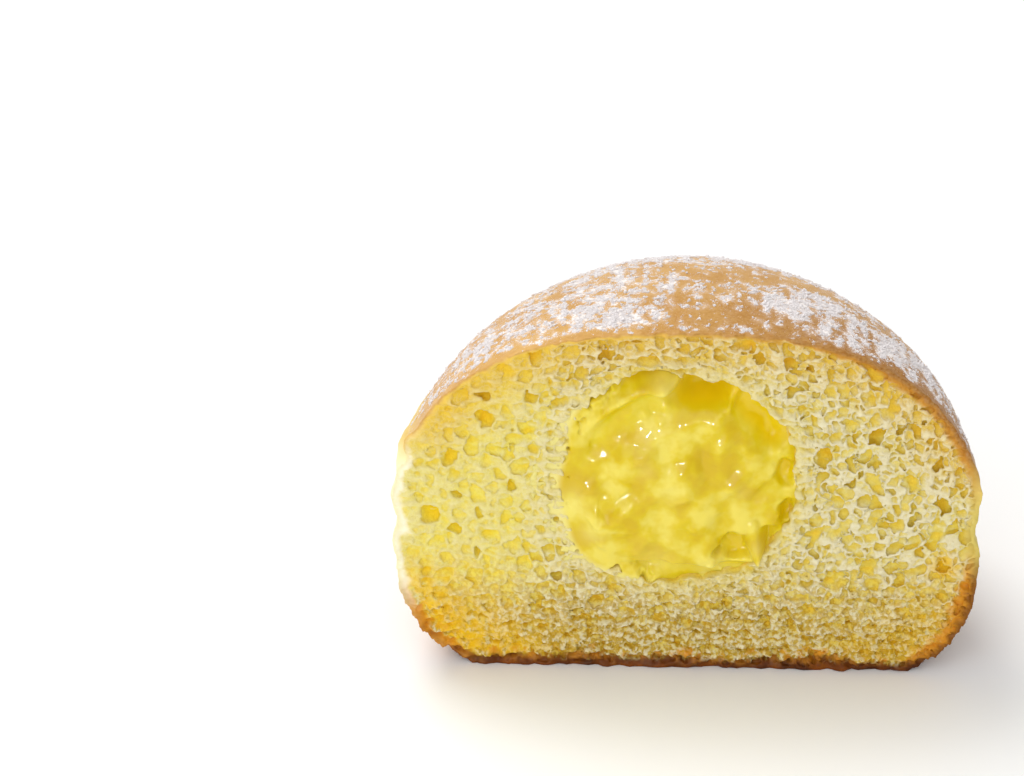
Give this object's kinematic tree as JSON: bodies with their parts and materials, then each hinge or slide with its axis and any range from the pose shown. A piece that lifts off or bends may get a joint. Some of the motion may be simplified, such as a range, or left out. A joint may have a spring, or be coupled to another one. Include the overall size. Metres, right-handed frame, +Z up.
{
  "type": "half of a cream-filled doughnut",
  "caption": "Round fried doughnut cut upright through its cream filling, standing on its flat base with the open crumb and the cream showing on the flat cut face.",
  "frame": {"origin": "centre of the bounding box in plan, on the surface that the half stands on", "axes": "+Z up; the flat cut face looks towards -Y, the round back towards +Y; +X along the width of the cut"},
  "size_m": [0.0884, 0.0498, 0.0607],
  "materials": {
    "dough": "fried dough: golden skin, pale belt, open yellow crumb on the cut",
    "cream": "wet glossy custard cream"
  },
  "bodies": {
    "root": {"dough": "dough", "cream": "cream"}
  },
  "joints": []
}
